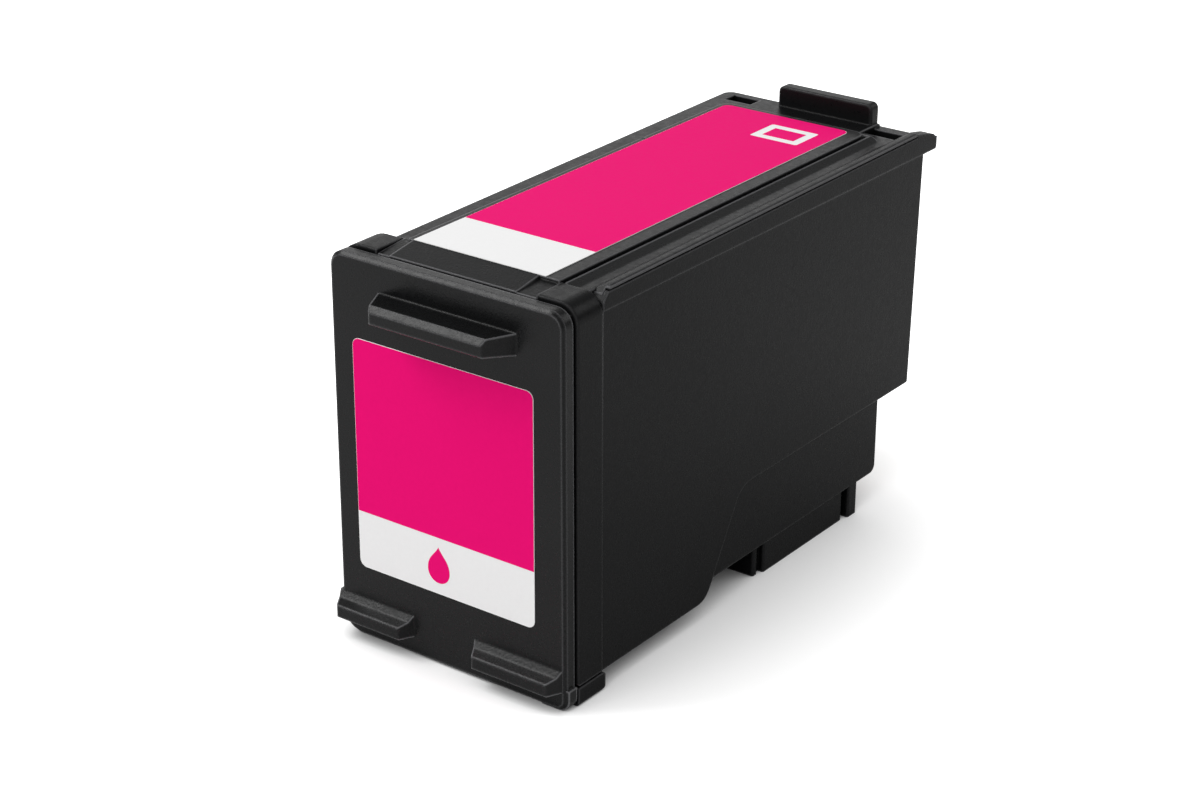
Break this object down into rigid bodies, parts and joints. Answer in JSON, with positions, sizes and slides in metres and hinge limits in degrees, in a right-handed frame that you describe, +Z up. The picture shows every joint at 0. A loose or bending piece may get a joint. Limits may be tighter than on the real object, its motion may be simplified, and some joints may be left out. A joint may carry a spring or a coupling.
{
  "type": "ink cartridge",
  "caption": "Inkjet ink cartridge with a built-in printhead: black moulded tank with a front grip plate, labelled lid, side flange, latch fin and a printhead nose under the rear.",
  "frame": {"origin": "middle of the footprint, on the surface that the cartridge stands on", "axes": "+Z up; +Y from the front grip plate back to the rear ears; +X to the right as seen from the front, toward the flanged side"},
  "size_m": [0.0346, 0.0834, 0.0523],
  "materials": {
    "black_plastic": "fine-grained satin black moulding",
    "label_film": "white label film",
    "magenta_ink": "magenta print",
    "ink_foam": "open foam soaked with magenta ink",
    "filter_mesh": "fine woven steel mesh",
    "plug_plastic": "dark grey plug",
    "silicon": "polished silicon",
    "die_glue": "cured adhesive",
    "orifice_foil": "gold-plated orifice foil",
    "film_circuit": "amber polyimide film",
    "contact_gold": "gold-plated copper",
    "bead_resin": "black sealing resin"
  },
  "bodies": {
    "root": {"body_shell": "black_plastic", "lid": "black_plastic", "front_plate": "black_plastic", "front_label": "label_film", "front_print": "magenta_ink", "top_label": "label_film", "top_print": "magenta_ink", "ink_foam": "ink_foam", "filter_screen": "filter_mesh", "fill_plug": "plug_plastic", "printhead_die": "silicon", "die_adhesive": "die_glue", "nozzle_plate": "orifice_foil", "flex_circuit": "film_circuit", "contact_pads": "contact_gold", "bead_front": "bead_resin", "bead_rear": "bead_resin"}
  },
  "joints": []
}
